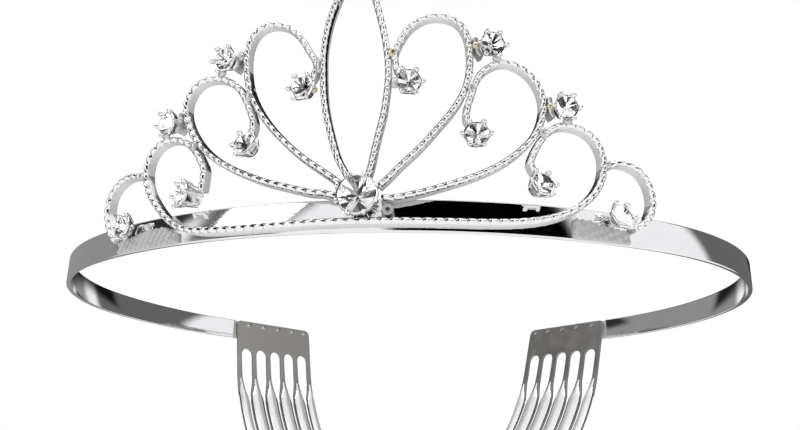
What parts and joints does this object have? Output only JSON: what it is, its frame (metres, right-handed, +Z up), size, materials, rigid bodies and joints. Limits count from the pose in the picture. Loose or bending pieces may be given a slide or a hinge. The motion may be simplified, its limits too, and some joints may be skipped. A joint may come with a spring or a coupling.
{
  "type": "bridal tiara",
  "caption": "Spring headband tiara with soldered strip-wire curls, a tall centre petal, claw-set crystals and a hair comb at each end.",
  "frame": {"origin": "centre of the head opening on the plane of the band's lower edge, midway between the front of the band and its ends", "axes": "+X towards the wearer's left (the right-hand side seen from the front), -Y to the front, +Z up with the band pitched 20 degrees back-end-down as it is worn"},
  "size_m": [0.1408, 0.1226, 0.1166],
  "materials": {
    "band_silver": "polished silver plate",
    "comb_silver": "satin silver plate",
    "strip_silver": "bright silver plate with a beaded edge",
    "claw_silver": "bright silver plate",
    "crystal": "foil-backed cut crystal"
  },
  "bodies": {
    "root": {"headband": "band_silver", "comb_left": "comb_silver", "comb_right": "comb_silver", "centre_petal": "strip_silver", "upper_curl_left": "strip_silver", "upper_curl_right": "strip_silver", "middle_curl_left": "strip_silver", "middle_curl_right": "strip_silver", "lower_curl_left": "strip_silver", "lower_curl_right": "strip_silver", "end_loop_left": "strip_silver", "end_loop_right": "strip_silver", "inner_link_left": "strip_silver", "inner_link_right": "strip_silver", "outer_link_left": "strip_silver", "outer_link_right": "strip_silver", "foot_left": "strip_silver", "foot_right": "strip_silver", "rolled_end": "strip_silver", "centre_setting": "claw_silver", "centre_stone": "crystal", "top_setting": "claw_silver", "top_stone": "crystal", "upper_setting_left": "claw_silver", "upper_stone_left": "crystal", "upper_setting_right": "claw_silver", "upper_stone_right": "crystal", "middle_setting_left": "claw_silver", "middle_stone_left": "crystal", "middle_setting_right": "claw_silver", "middle_stone_right": "crystal", "lower_setting_left": "claw_silver", "lower_stone_left": "crystal", "lower_setting_right": "claw_silver", "lower_stone_right": "crystal", "inner_crest_setting_left": "claw_silver", "inner_crest_stone_left": "crystal", "inner_crest_setting_right": "claw_silver", "inner_crest_stone_right": "crystal", "outer_crest_setting_left": "claw_silver", "outer_crest_stone_left": "crystal", "outer_crest_setting_right": "claw_silver", "outer_crest_stone_right": "crystal", "end_setting_left": "claw_silver", "end_stone_left": "crystal", "end_setting_right": "claw_silver", "end_stone_right": "crystal"}
  },
  "joints": []
}
